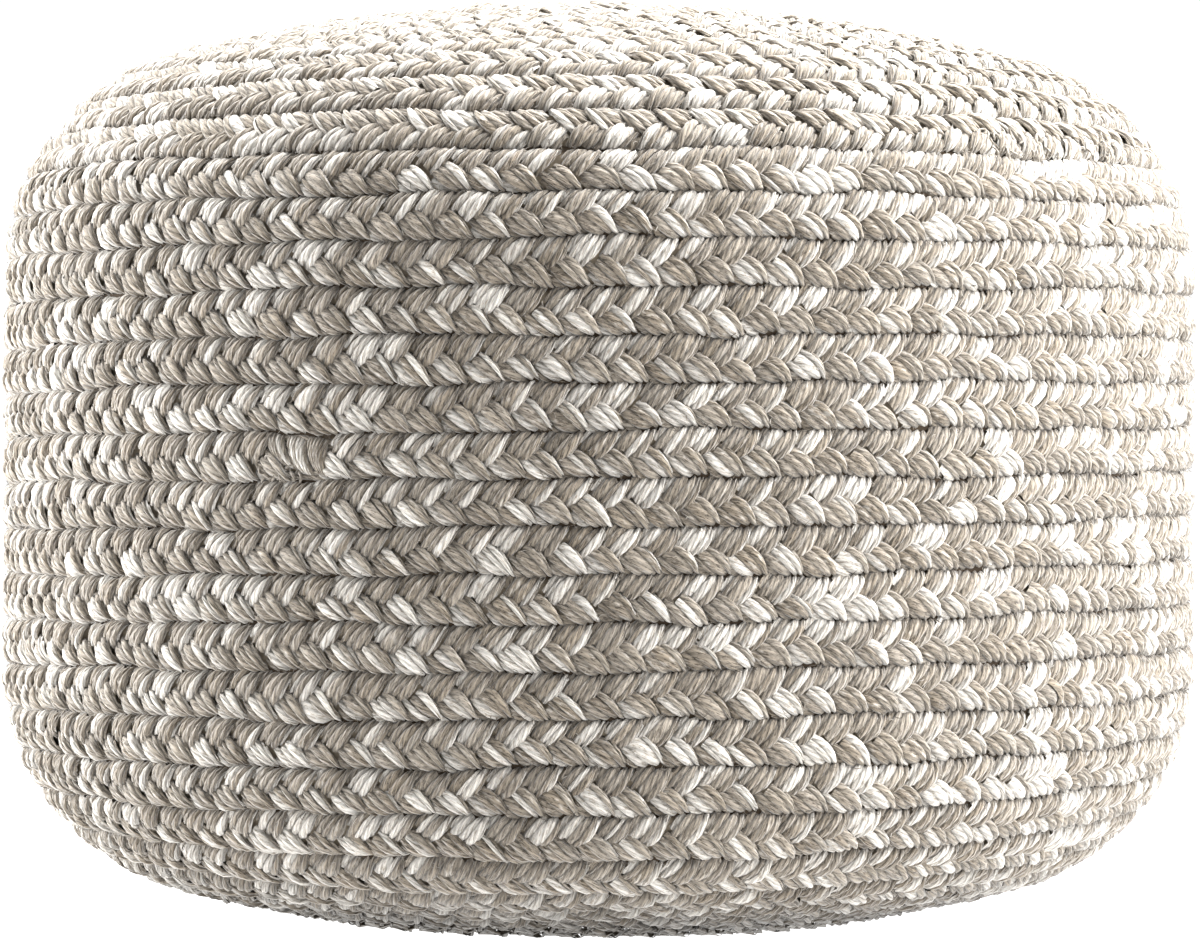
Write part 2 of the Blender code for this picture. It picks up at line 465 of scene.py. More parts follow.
def sees_out(points, normals, margin):
    """Whether each face can be seen from outside past the rest of the braid."""
    columns, lines = BRAID_HEIGHTS.shape
    seen = np.zeros(len(points), bool)
    for sight_line in np.array(SIGHT_LINES, float):
        clear = normals @ sight_line > TURNED_AWAY * np.linalg.norm(sight_line)
        for rise in np.arange(0.0, SIGHT_REACH, SIGHT_STEP):
            place = points + sight_line * rise
            length_share = place[:, 0] % (2 * LOBE_PITCH) / (2 * LOBE_PITCH)
            width_share = (place[:, 1] + ROW_WIDTH / 2) % ROW_WIDTH / ROW_WIDTH
            column = (length_share * columns).astype(int) % columns
            line = (width_share * lines).astype(int) % lines
            clear &= place[:, 2] > BRAID_HEIGHTS[column, line] - margin
        seen |= clear
    return seen


@functools.lru_cache(maxsize=None)
def lobe_mesh(hand, detail):
    """One lobe as a strip for each yarn, without what never shows. hand is 1, or -1 in a mirror.

    Returns for each point the strand's centre, side and face, its size, and where the point is on
    it, and then the faces.
    """
    steps, margin = detail
    psi = np.linspace(*LOBE_SPAN, steps + 1)
    strips = len(YARN_PROFILE) - 1
    places = (np.arange(YARNS), np.arange(steps + 1), np.arange(strips + 1))
    yarn, ring, place = np.meshgrid(*places, indexing="ij")
    phase = psi[ring]
    wind = hand * YARN_WIND * (phase - LOBE_MIDDLE) / (2 * math.pi)
    centre, side, face = strand_frames(phase)
    across, up = on_oval((yarn + place / strips - wind) / YARNS)
    half_width, half_thickness = strand_size(phase)
    side_part = side * (half_width * across)[..., None]
    face_part = face * (half_thickness * up)[..., None]
    outward = side * (across / half_width)[..., None] + face * (up / half_thickness)[..., None]
    outward /= np.linalg.norm(outward, axis=-1, keepdims=True)
    lift = np.array(YARN_PROFILE)[place]
    points = centre + side_part + face_part + outward * lift[..., None]
    step_lengths = np.linalg.norm(np.diff(strand_frames(psi)[0], axis=0), axis=1)
    run = np.concatenate(([0], np.cumsum(step_lengths)))
    across_yarn = -hand * (place / strips - 0.5) * strand_girth()[2] / YARNS

    index = np.arange(yarn.size).reshape(yarn.shape)
    corners = (index[:, :-1, :-1], index[:, 1:, :-1], index[:, 1:, 1:], index[:, :-1, 1:])
    faces = np.stack(corners, axis=-1).reshape(-1, 4)
    flat = points.reshape(-1, 3)
    first, second, third, fourth = (flat[corner] for corner in faces.T)
    normal = np.cross(third - first, fourth - second)
    if np.einsum("ij,ij->i", normal, outward.reshape(-1, 3)[faces].mean(axis=1)).mean() < 0:
        faces = faces[:, ::-1]
        normal = -normal
    normal /= np.linalg.norm(normal, axis=1, keepdims=True)
    faces = faces[sees_out(flat[faces].mean(axis=1), normal, margin)]
    used, faces = np.unique(faces, return_inverse=True)
    faces = faces.reshape(-1, 4)
    if hand < 0:
        faces = faces[:, ::-1]
    frames = [values.reshape(-1, 3)[used] for values in (centre, side, face)]
    sizes = [values.reshape(-1)[used] for values in (half_width, half_thickness)]
    on_strand = (yarn, place / strips, wind, lift, run[ring], across_yarn)
    return frames, sizes, [values.reshape(-1)[used] for values in on_strand], faces


@functools.lru_cache(maxsize=None)
def coil_run():
    """Turn angles of the coil, and the millimetres of braid used up to each, from middle to middle.

    The turn angle runs clockwise seen from above and is 0 at the front of the first row.
    """
    turns = np.arange(-0.5, TOTAL_ROWS - 0.5, COIL_STEP) * 2 * math.pi
    rows = turns / (2 * math.pi) + 0.5
    radius = np.maximum(outline_values(rows, -turns)[0], COIL_LEAST_RADIUS)
    steps = (radius[1:] + radius[:-1]) / 2 * np.diff(turns)
    return turns, np.concatenate(([0], np.cumsum(steps))) * 1000


def coil_lobes(first_turn, last_turn, partings=()):
    """Places of the lobes between two turn angles, in millimetres along the braid."""
    turns, run = coil_run()
    start, end = np.interp((first_turn, last_turn), turns, run)
    count = int((end - start) / LOBE_PITCH)
    places = start + (np.arange(count) + 0.5) * (end - start) / count
    for parting in np.interp(partings, turns, run):
        away = places - parting
        places = places + PARTING * np.tanh(away / PARTING_NEAR) * np.exp(-(away / PARTING_FAR) ** 2)
    return places


def uneven_lobes(rng, count, frames, sizes, on_strand):
    """Points of many lobes, no two alike, and how far each point stands out of its strand."""
    centre, side, face = frames
    half_width, half_thickness = sizes
    yarn, share, wind, lift, _, _ = on_strand
    yarn = yarn.astype(int)
    width = rng.normal(1.0, WIDTH_UNEVEN, (count, 1))
    thickness = rng.normal(1.0, THICKNESS_UNEVEN, (count, 1))
    stand = lift + rng.normal(0.0, YARN_STRAY, (count, YARNS))[:, yarn]
    surface = rng.normal(0.0, SURFACE_STRAY, (count, len(yarn)))
    # The girth is shared out unevenly between the yarns
    bounds = np.arange(YARNS + 1) + rng.normal(0.0, YARN_UNEVEN, (count, YARNS + 1))
    bounds[:, -1] = bounds[:, 0] + YARNS
    place = bounds[:, yarn] * (1 - share) + bounds[:, yarn + 1] * share
    across, up = on_oval((place - wind) / YARNS)
    side_part = side * (half_width * width * across)[..., None]
    face_part = face * (half_thickness * thickness * up)[..., None]
    outward = side * (across / half_width)[..., None] + face * (up / half_thickness)[..., None]
    outward /= np.linalg.norm(outward, axis=-1, keepdims=True)
    points = centre + side_part + face_part + outward * (stand + surface)[..., None]
    for axis in (2, 1, 0):
        points[..., axis] += rng.normal(0.0, LOBE_STRAY[axis], (count, 1))
    return points, stand


def dyed_yarns(rng, rows):
    """For each yarn of the lobes in these rows: how off-white it is, how light, and a number."""
    shape = (len(rows), YARNS)
    white_lobe = rng.random((len(rows), 1)) < OFF_WHITE_LOBE
    white = (rng.random(shape) < OFF_WHITE_YARN) | white_lobe
    whiteness = np.where(white, rng.uniform(*PALE_DYE, shape), rng.uniform(*TAUPE_DYE, shape))
    # Painted shade darkens the yarn under the haunch, near the floor
    under_haunch = np.clip((rows - HAUNCH_SHADE_ROWS[0]) / (HAUNCH_SHADE_ROWS[1] - HAUNCH_SHADE_ROWS[0]), 0.0, 1.0)
    shade = rng.random(shape) - HAUNCH_PAINTED_SHADE * under_haunch[:, None]
    return whiteness, shade, rng.random(shape)


def lay_braid(name, lobes, numbers, pointing, detail, seed, material):
    """Mesh of some lobes of a coil. pointing is 1 where the plait points along the coil."""
    rng = np.random.default_rng(seed)
    turns, run = coil_run()
    all_points = []
    all_faces = []
    all_run = []
    all_dye_and_shade = []
    laid = 0
    # Even lobes come from one edge of the braid, and odd ones from the other
    for turn, sign in ((0, 1), (1, -1)):
        places = lobes[numbers % 2 == turn]
        frames, sizes, on_strand, faces = lobe_mesh(pointing * sign, detail)
        yarn = on_strand[0].astype(int)
        points, stand = uneven_lobes(rng, len(places), frames, sizes, on_strand)
        angle = np.interp(places[:, None] + pointing * points[..., 0], run, turns)
        row = angle / (2 * math.pi) + 0.5 + sign * points[..., 1] / ROW_WIDTH
        depth = CREST - points[..., 2]
        whiteness, shade, number = dyed_yarns(rng, row.mean(axis=1))
        # Down in the seams and where strands dive, painted shade darkens the yarn
        sunk = np.clip((depth - SUNK_DEPTHS[0]) / (SUNK_DEPTHS[1] - SUNK_DEPTHS[0]), 0.0, 1.0)
        run_values = np.broadcast_arrays(*on_strand[-2:], number[:, yarn] * PATTERN_REACH)
        dye_and_shade_values = (whiteness[:, yarn], shade[:, yarn] - SUNK_PAINTED_SHADE * sunk, stand)
        all_points.append(on_pouf(row, depth / 1000, -angle).reshape(-1, 3))
        all_run.append(np.stack(run_values, axis=-1).reshape(-1, 3))
        all_dye_and_shade.append(np.stack(dye_and_shade_values, axis=-1).reshape(-1, 3))
        first_points = laid + np.arange(len(places)) * len(yarn)
        all_faces.append((first_points[:, None, None] + faces).reshape(-1, 4))
        laid += len(places) * len(yarn)
    attributes = {"yarn_run": np.vstack(all_run), "yarn_dye_and_shade": np.vstack(all_dye_and_shade)}
    return make_piece(name, np.vstack(all_points), np.vstack(all_faces), material, attributes)


def lay_coil(node, lobes, pointing, material, pieces, left_out=False):
    """Lay a coil of braid as pieces: (name, share of the lobes where it ends, detail, seed)."""
    numbers = np.arange(len(lobes))
    start = 0
    for name, share, detail, seed in pieces:
        end = share * len(lobes)
        chosen = (numbers >= start) & (numbers < end) & ~np.broadcast_to(left_out, lobes.shape)
        piece = lay_braid(name, lobes[chosen], numbers[chosen], pointing, detail, seed, material)
        set_on_pouf(piece, node)
        start = end


def heather_yarn():
    """Two-ply spun wool-blend yarn: matt and hairy, heather taupe flecked with off-white fibres.

    The fibres scatter the light, so it has almost no gloss, and a faint sheen towards the limbs.
    yarn_run holds millimetres along and across a yarn, and where its fibres are in the pattern.
    yarn_dye_and_shade holds how off-white it is, how light with its own tone and painted shade,
    and how far the point stands out of the strand.
    """
    material, tree, shader = new_material("heather_wool_blend_yarn")
    run = add_node(tree, "ShaderNodeAttribute", {}, attribute_name="yarn_run")
    dye = add_node(tree, "ShaderNodeAttribute", {}, attribute_name="yarn_dye_and_shade")
    dye_and_shade_parts = add_node(tree, "ShaderNodeSeparateXYZ", {"Vector": dye.outputs["Vector"]})

    # Fibres and plies run at the ply angle across the yarn
    turned = add_node(tree, "ShaderNodeVectorRotate", {
        "Vector": run.outputs["Vector"], "Angle": -PLY_ANGLE}, rotation_type="Z_AXIS")
    turned_parts = add_node(tree, "ShaderNodeSeparateXYZ", {"Vector": turned.outputs["Vector"]})
    fibre_place = add_node(tree, "ShaderNodeVectorMath", {
        0: turned.outputs["Vector"], 1: FIBRES_PER_MM}, operation="MULTIPLY")
    fibres = add_node(tree, "ShaderNodeTexNoise", {
        "Vector": fibre_place.outputs["Vector"], "Scale": 1.0, "Detail": 4.0, "Roughness": 0.7})
    tuft_place = add_node(tree, "ShaderNodeVectorMath", {
        0: turned.outputs["Vector"], 1: TUFTS_PER_MM}, operation="MULTIPLY")
    tufts = add_node(tree, "ShaderNodeTexNoise", {
        "Vector": tuft_place.outputs["Vector"], "Scale": 1.0, "Detail": 2.0, "Roughness": 0.5})
    ply_phase = add_node(tree, "ShaderNodeMath", {
        0: turned_parts.outputs["Y"], 1: 2 * math.pi / PLY_WIDTH}, operation="MULTIPLY")
    ply_wave = add_node(tree, "ShaderNodeMath", {0: ply_phase.outputs[0]}, operation="COSINE")
    ply = add_node(tree, "ShaderNodeMapRange", {
        "Value": ply_wave.outputs[0], "From Min": -1.0, "From Max": 0.6})

    # Colour: taupe fibres, the paler tufts among them, and the off-white yarns
    contrast = add_node(tree, "ShaderNodeMapRange", {
        "Value": fibres.outputs["Fac"], "From Min": 0.40, "From Max": 0.51})
    taupe = add_node(tree, "ShaderNodeMix", {
        0: contrast.outputs["Result"], 6: linear(TAUPE_DARK), 7: linear(TAUPE_LIGHT)}, data_type="RGBA")
    pale = add_node(tree, "ShaderNodeMix", {
        0: contrast.outputs["Result"], 6: linear(OFF_WHITE_SHADE), 7: linear(OFF_WHITE)},
        data_type="RGBA")
    tuft_paleness = add_node(tree, "ShaderNodeMapRange", {
        "Value": tufts.outputs["Fac"], "From Min": 0.56, "From Max": 0.72, "To Max": 0.55})
    paleness = add_node(tree, "ShaderNodeMath", {
        0: dye_and_shade_parts.outputs["X"], 1: tuft_paleness.outputs["Result"]}, operation="MAXIMUM")
    dyed = add_node(tree, "ShaderNodeMix", {
        0: paleness.outputs[0], 6: taupe.outputs[2], 7: pale.outputs[2]}, data_type="RGBA")

    # Painted shade: the grooves between yarns and between plies are darker
    yarn_groove_shade = add_node(tree, "ShaderNodeMapRange", {
        "Value": dye_and_shade_parts.outputs["Z"], "From Min": GROOVE, "From Max": RIDGE, "To Min": 0.68})
    ply_groove_shade = add_node(tree, "ShaderNodeMapRange", {"Value": ply.outputs["Result"], "To Min": 0.68})
    # The yarn's own random tone, with painted shade under the haunch and down between the strands
    shade = add_node(tree, "ShaderNodeMapRange", {
        "Value": dye_and_shade_parts.outputs["Y"], "From Min": -3.0, "To Min": 0.14, "To Max": 1.1})
    groove_shade = add_node(tree, "ShaderNodeMath", {
        0: yarn_groove_shade.outputs["Result"], 1: ply_groove_shade.outputs["Result"]}, operation="MULTIPLY")
    tone_and_painted_shade = add_node(tree, "ShaderNodeMath", {
        0: groove_shade.outputs[0], 1: shade.outputs["Result"]}, operation="MULTIPLY")
    shaded = add_node(tree, "ShaderNodeVectorMath", {
        0: dyed.outputs[2], "Scale": tone_and_painted_shade.outputs[0]}, operation="SCALE")
    tree.links.new(shaded.outputs["Vector"], shader.inputs["Base Color"])

    # Relief of the plies, and of fibres about half as deep
    relief = add_node(tree, "ShaderNodeMath", {
        0: fibres.outputs["Fac"], 1: 0.55, 2: ply.outputs["Result"]}, operation="MULTIPLY_ADD")
    bump = add_node(tree, "ShaderNodeBump", {
        "Height": relief.outputs[0], "Distance": PLY_DEPTH_METRES, "Strength": 0.9})
    tree.links.new(bump.outputs["Normal"], shader.inputs["Normal"])
    shader.inputs["Roughness"].default_value = 0.92
    shader.inputs["Specular IOR Level"].default_value = 0.25
    shader.inputs["Sheen Weight"].default_value = 0.4
    shader.inputs["Sheen Roughness"].default_value = 0.55
    return material


yarn_material = heather_yarn()

top_lobes = coil_lobes(*TOP_TURNS, TOP_PARTINGS)
lay_coil("top_panel", top_lobes, -1, yarn_material, (
    ("top_coil_inner", 0.5, PLAIN, 11),
    ("top_coil_outer", 1.0, FINE, 12),
))


# ------------------------------------------------------------------------------------------------
# The side wall: the same braid coiled as a tube round the filling, fourteen turns high. It was wound
# the other way about, so its plait points along the coil, to the left as seen from the front.
# ------------------------------------------------------------------------------------------------

WALL_TURNS = (TOP_TURNS[1], TOP_TURNS[1] + 2 * WALL_ROWS * math.pi)
WALL_PARTINGS = (28 * math.pi + 0.09, 28 * math.pi + 0.03)
# Where two lengths of braid are spliced: the turn of the coil, and the first and last angle round
# the pouf in degrees. The plait stops this many millimetres short of it.
SPLICE_TURN = 20
SPLICE_ANGLES = (-30.7, -25.4)
SPLICE_CLEAR = 1.0

wall_lobes = coil_lobes(*WALL_TURNS, WALL_PARTINGS)
splice_turns = [2 * math.pi * SPLICE_TURN - math.radians(angle) for angle in SPLICE_ANGLES]
splice_end, splice_start = np.interp(splice_turns, *coil_run())
in_splice = (wall_lobes > splice_start - SPLICE_CLEAR) & (wall_lobes < splice_end + SPLICE_CLEAR)
lay_coil("side_wall", wall_lobes, 1, yarn_material, (
    ("wall_coil_upper", 1 / 3, FINE, 21),
    ("wall_coil_middle", 2 / 3, FINE, 22),
    ("wall_coil_lower", 1.0, FINE, 23),
), in_splice)


# ------------------------------------------------------------------------------------------------
# The splice and the loose ends. Where one length of the wall's braid is joined to the next, three
# strands of the same yarn are laid across the whole row and tucked in. Cut ends of yarn curl out
# beside it, and along the join of the top seam at the right, where the top panel is sewn down.
# ------------------------------------------------------------------------------------------------

YARN_RADIUS = 1.2
YARN_SIDES = 6
# A cut yarn keeps its thickness almost to its end: a high power is a blunt end
BLUNT_END = 6

# The splice fills the row from here down
SPLICE_ROW = SPLICE_TURN + 0.08
# Strands of the splice: angle at its top and at its bottom in degrees, where it starts and ends in
# the row, and how off-white each of its yarns is
SPLICE_STRANDS = (
    (-30.6, -28.6, 0.03, 0.74, (0.1, 0.2, 0.1, 0.9, 0.1)),
    (-28.1, -26.9, 0.04, 0.88, (0.1, 0.9, 0.2, 1.0, 0.9, 0.1)),
    (-26.0, -25.0, 0.03, 0.94, (0.1, 0.0, 0.2, 0.1, 0.0, 0.1)),
)
# In degrees round the pouf: how wide a strand is at its top, how much narrower at its bottom, and
# how far it bows to the left. In millimetres: how deep its ends are, and how far its middle rises.
STRAND_SPREAD = 2.1
STRAND_NARROWING = 0.9
STRAND_BOW = 0.35
STRAND_DEPTH = 6.0
STRAND_RISE = 5.0
# Behind them other yarns run along the row: how far down the row each is, at which depth, and the
# angles between which they run
CORE_PLACES = (0.12, 0.26, 0.40, 0.54, 0.68, 0.82, 0.93)
CORE_DEPTH = 4.3
CORE_ANGLES = (-32.2, -23.8)
CORE_DYE = 0.1

# Patches of cut ends: (how many, rows, degrees round the pouf, depths in millimetres)
SPLICE_ENDS = (46, (20.55, 20.98), (-31.6, -28.0), (2.2, 4.4))
TOP_SEAM_ENDS = (40, (13.3, 13.75), (38.0, 60.0), (0.8, 2.2))
CUT_END_LENGTHS = (5.0, 9.0)
CUT_END_RADII = (0.35, 0.75)
CUT_END_STEPS = 9


def lay_yarns(name, paths, radii, whiteness, material, sides=YARN_SIDES):
    """Mesh of single yarns along paths of (row, depth in millimetres, angle).

    They are round tubes with blunt ends, or flat ribbons where they have only two sides.
    """
    rows, depths, thetas = np.moveaxis(paths, -1, 0)
    middle = on_pouf(rows, depths / 1000, thetas)
    outward = on_pouf(rows, depths / 1000 - 0.001, thetas) - middle
    tangent = np.gradient(middle, axis=1)
    tangent /= np.linalg.norm(tangent, axis=-1, keepdims=True)
    side = np.cross(outward, tangent)
    side /= np.linalg.norm(side, axis=-1, keepdims=True)
    outward = np.cross(tangent, side)
    count, steps = rows.shape
    taper = (1.001 - np.abs(np.linspace(-1, 1, steps)) ** BLUNT_END) ** 0.5
    around = np.linspace(0, 2 * math.pi, sides, endpoint=False)
    reach = (radii[:, None] * taper)[..., None, None] / 1000
    ring = side[:, :, None] * np.cos(around)[:, None] + outward[:, :, None] * np.sin(around)[:, None]
    points = middle[:, :, None] + ring * reach
    lengths = np.linalg.norm(np.diff(middle, axis=1), axis=-1).cumsum(axis=1) * 1000
    lengths = np.concatenate((np.zeros((count, 1)), lengths), axis=1)

    index = np.arange(points[..., 0].size).reshape(count, steps, sides)
    following = np.roll(index, -1, axis=2)
    corners = (index[:, :-1], following[:, :-1], following[:, 1:], index[:, 1:])
    faces = np.stack(corners, axis=-1)
    faces = (faces[:, :, :1] if sides == 2 else faces).reshape(-1, 4)
    # Each yarn takes its fibres from another place of the pattern, and off-white ones are lighter
    shape = (count, steps, sides)
    pattern_places = np.arange(count)[:, None, None] * 7.3
    dye = whiteness[:, None, None]
    run_values = (lengths[..., None], radii[:, None, None] * around, pattern_places)
    # A dye below 0 makes a yarn darker than taupe: painted shade on the seams' fibres
    dye_and_shade_values = (dye, dye * 0.5, RIDGE)
    attributes = {
        "yarn_run": np.stack([np.broadcast_to(v, shape) for v in run_values], axis=-1).reshape(-1, 3),
        "yarn_dye_and_shade": np.stack([np.broadcast_to(v, shape) for v in dye_and_shade_values], axis=-1).reshape(-1, 3),
    }
    return make_piece(name, points.reshape(-1, 3), faces, material, attributes)


def splice_paths():
    """Paths of the yarns in the splice, and how off-white each is."""
    share = np.linspace(0, 1, 13)
    bow = np.sin(share * math.pi)
    paths = []
    whiteness = []
    for top, bottom, first, last, dyes in SPLICE_STRANDS:
        for number, dye in enumerate(dyes):
            place = (number - (len(dyes) - 1) / 2) / len(dyes)
            spread = STRAND_SPREAD - STRAND_NARROWING * share
            angle = top + (bottom - top) * share + place * spread - STRAND_BOW * bow
            row = SPLICE_ROW + first + (last - first) * share + 0.05 * place
            depth = STRAND_DEPTH - (STRAND_RISE - 5 * place**2) * bow**0.45
            paths.append(np.column_stack((row, depth, np.radians(angle))))
            whiteness.append(dye)
    core_angle = np.radians(CORE_ANGLES[0] + (CORE_ANGLES[1] - CORE_ANGLES[0]) * share)
    for number, down in enumerate(CORE_PLACES):
        # No two of them lie quite straight or alike
        row = SPLICE_ROW + down + 0.03 * np.sin(share * 9 + number * 2)
        depth = CORE_DEPTH + 0.5 * np.sin(share * 7 + number)
        paths.append(np.column_stack((row, depth, core_angle)))
        whiteness.append(CORE_DYE)
    return np.array(paths), np.array(whiteness)


def cut_end_paths(rng, count, rows, angles, depths):
    """Paths of short loose ends that curl about in a patch of the cover."""
    share = np.linspace(0, 1, CUT_END_STEPS)
    start, bend = rng.uniform(0, 2 * math.pi, (2, count, 1))
    heading = start + (bend - math.pi) * share * 1.2
    step = rng.uniform(*CUT_END_LENGTHS, (count, 1)) / CUT_END_STEPS
    across = np.cumsum(np.sin(heading), axis=1) * step
    along = np.cumsum(np.cos(heading), axis=1) * step
    row = rng.uniform(*rows, (count, 1)) + across / ROW_WIDTH
    angle = np.radians(rng.uniform(*angles, (count, 1))) + along / (POUF_RADIUS * 1000)
    # They arch out of the cover by a millimetre
    depth = rng.uniform(*depths, (count, 1)) - np.sin(share * math.pi)
    return np.stack((row, depth, angle), axis=-1)


splice, splice_dye = splice_paths()
splice_radii = np.full(len(splice), YARN_RADIUS)
wall_splice = lay_yarns("wall_splice", splice, splice_radii, splice_dye, yarn_material)
set_on_pouf(wall_splice, "side_wall")

loose = np.random.default_rng(41)
cut_ends = np.concatenate([cut_end_paths(loose, *patch) for patch in (SPLICE_ENDS, TOP_SEAM_ENDS)])
cut_radii = loose.uniform(*CUT_END_RADII, len(cut_ends))
cut_dye = loose.uniform(0.0, 0.4, len(cut_ends))
loose_ends = lay_yarns("loose_ends", cut_ends, cut_radii, cut_dye, yarn_material)
set_on_pouf(loose_ends, "side_wall", "top_panel")


# ------------------------------------------------------------------------------------------------
# The turned ends. In the middle of either panel the coil starts with the end of its braid turned
# under: a patch of the same yarns, side by side, closes the eye of the coil.
# ------------------------------------------------------------------------------------------------

TURNED_HALF_LENGTH = 11.0
TURNED_PITCH = 2.0
TURNED_YARNS_PER_SIDE = 4
TURNED_ANGLE = math.radians(35)
# They lie this far under the crest and dip as far again at their ends
TURNED_DEPTH = 3.0


def turned_end(middle, sign):
    """Paths of the yarns over the middle of a panel. sign is 1 where rows are counted from it."""
    share = np.linspace(-1, 1, 11)
    yarns = np.arange(-TURNED_YARNS_PER_SIDE, TURNED_YARNS_PER_SIDE + 1)
    along, across = np.meshgrid(share * TURNED_HALF_LENGTH, yarns * TURNED_PITCH)
    x = along * math.cos(TURNED_ANGLE) - across * math.sin(TURNED_ANGLE)
    y = along * math.sin(TURNED_ANGLE) + across * math.cos(TURNED_ANGLE)
    row = middle + sign * np.hypot(x, y) / ROW_WIDTH
    depth = TURNED_DEPTH + TURNED_DEPTH * share**4 + 0.05 * across**2
    return np.stack((row, depth, np.arctan2(x, -y)), axis=-1)


turned = np.concatenate((turned_end(0, 1), turned_end(TOTAL_ROWS, -1)))
turned_radii = np.full(len(turned), YARN_RADIUS)
turned_dye = loose.uniform(0.0, 0.3, len(turned))
turned_ends = lay_yarns("turned_ends", turned, turned_radii, turned_dye, yarn_material)
set_on_pouf(turned_ends, "top_panel", "base_panel")


# ------------------------------------------------------------------------------------------------
# The base panel: a second coiled panel of the same braid, drawn in under the haunch and pressed flat
# where the pouf stands. Only its outer turns show when it stands.
# ------------------------------------------------------------------------------------------------

BASE_TURNS = (WALL_TURNS[1], (2 * TOTAL_ROWS - 1) * math.pi - COIL_EYE)

base_lobes = coil_lobes(*BASE_TURNS)
lay_coil("base_panel", base_lobes, 1, yarn_material, (
    ("base_coil_outer", 0.5499, FINE, 31),
    ("base_coil_inner", 1.0, COARSE, 32),
))


# ------------------------------------------------------------------------------------------------
# Raised fibres. Spun yarn is hairy: wool-blend fibres a few millimetres long stand out of it all
# over, and the sewing raises them thickly along the seams. They are drawn twice as thick as real
# ones, so that they show.
# ------------------------------------------------------------------------------------------------

SEAM_FIBRES = 12000
FACE_FIBRES = 10000
FIBRE_RADII = (0.09, 0.16)
FIBRE_LENGTHS = (2.5, 6.0)
FIBRE_STEPS = 4
# How much a fibre bends from one end to the other, in radians
FIBRE_BEND = 1.2
# Turns of the coils whose fibres can be made out from outside
FIBRE_TURNS = (7.0, 33.0)
# How far from the seam the fibres start, in rows, and those of the face from the row's middle
SEAM_SPREAD = 0.05
FACE_SPREAD = 0.4
# A seam's fibres lie this deep over its middle, less by so much for each row away from it
SEAM_FIBRE_DEPTH = 2.0
SEAM_FIBRE_SLOPE = 28
LEAST_DEPTH = 0.1
# Fibres of the face start in the braid and rise out of it, in millimetres
FACE_FIBRE_DEPTHS = (0.4, 2.4)
FACE_FIBRE_RISES = (0.2, 1.5)
# Those of the seams get painted shade and are darker: less than 0 is below plain taupe
SEAM_FIBRE_SHADE = (-4.5, -0.5)
FACE_FIBRE_DYE = (0.0, 0.6)


def fibre_paths(rng):
    """Paths of fibres across the seams, and of fibres that stand out of the braid's face."""
    count = SEAM_FIBRES + FACE_FIBRES
    share = np.linspace(0, 1, FIBRE_STEPS)
    heading = rng.uniform(0, 2 * math.pi, (count, 1)) + rng.normal(0.0, FIBRE_BEND, (count, 1)) * share
    step = rng.uniform(*FIBRE_LENGTHS, (count, 1)) / FIBRE_STEPS
    across = np.cumsum(np.sin(heading), axis=1) * step / ROW_WIDTH
    along = np.cumsum(np.cos(heading), axis=1) * step
    turns = rng.uniform(*FIBRE_TURNS, (count, 1))
    at_seam = np.arange(count)[:, None] < SEAM_FIBRES
    seam_start = rng.normal(0.0, SEAM_SPREAD, (count, 1))
    face_start = rng.uniform(-FACE_SPREAD, FACE_SPREAD, (count, 1))
    off_middle = np.where(at_seam, seam_start, face_start) + across - across.mean(axis=1, keepdims=True)
    row = turns + np.where(at_seam, 1.0, 0.5) + off_middle
    seam_depth = np.maximum(SEAM_FIBRE_DEPTH - SEAM_FIBRE_SLOPE * np.abs(off_middle), LEAST_DEPTH)
    face_depth = rng.uniform(*FACE_FIBRE_DEPTHS, (count, 1))
    face_depth = face_depth - rng.uniform(*FACE_FIBRE_RISES, (count, 1)) * share
    depth = np.where(at_seam, seam_depth, face_depth)
    angle = -2 * math.pi * turns - along / (POUF_RADIUS * 1000)
    return np.stack((row, depth, angle), axis=-1)


hairs = np.random.default_rng(51)
fibres = fibre_paths(hairs)
# The seams' fibres carry painted shade
seam_fibre_shade = hairs.uniform(*SEAM_FIBRE_SHADE, len(fibres))
face_dye = hairs.uniform(*FACE_FIBRE_DYE, len(fibres))
fibre_dye_and_shade = np.where(np.arange(len(fibres)) < SEAM_FIBRES, seam_fibre_shade, face_dye)
fibre_radii = hairs.uniform(*FIBRE_RADII, len(fibres))
raised_fibres = lay_yarns("raised_fibres", fibres, fibre_radii, fibre_dye_and_shade, yarn_material, sides=2)
set_on_pouf(raised_fibres, "side_wall", "top_panel", "base_panel")


# ------------------------------------------------------------------------------------------------
# The studio: a floor of opal acrylic lit from below, so that nothing standing on it throws a
# shadow, a white background, a wide light on the right, softer ones close by at either side and
# overhead, and a camera level with the middle of the pouf.
# ------------------------------------------------------------------------------------------------

# Strength of the white all round, and of the background behind the pouf: it starts and is full
# where directions point this far back
SURROUND = 0.215
BACKGROUND = 1.06
BACKGROUND_EDGE = (0.93, 0.98)

scene = bpy.context.scene
scene.view_settings.view_transform = "Standard"
world = bpy.data.worlds.new("white_studio")
scene.world = world
world.use_nodes = True
studio = world.node_tree
background = studio.nodes["Background"]
background.inputs["Color"].default_value = (1.0, 1.0, 1.0, 1.0)
direction = add_node(studio, "ShaderNodeTexCoord", {})
direction_parts = add_node(studio, "ShaderNodeSeparateXYZ", {"Vector": direction.outputs["Generated"]})
backdrop = add_node(studio, "ShaderNodeMapRange", {
    "Value": direction_parts.outputs["Y"], "From Min": BACKGROUND_EDGE[0],
    "From Max": BACKGROUND_EDGE[1], "To Max": BACKGROUND})
brightness = add_node(studio, "ShaderNodeMath", {
    0: backdrop.outputs["Result"], 1: SURROUND}, operation="MAXIMUM")
studio.links.new(brightness.outputs[0], background.inputs["Strength"])

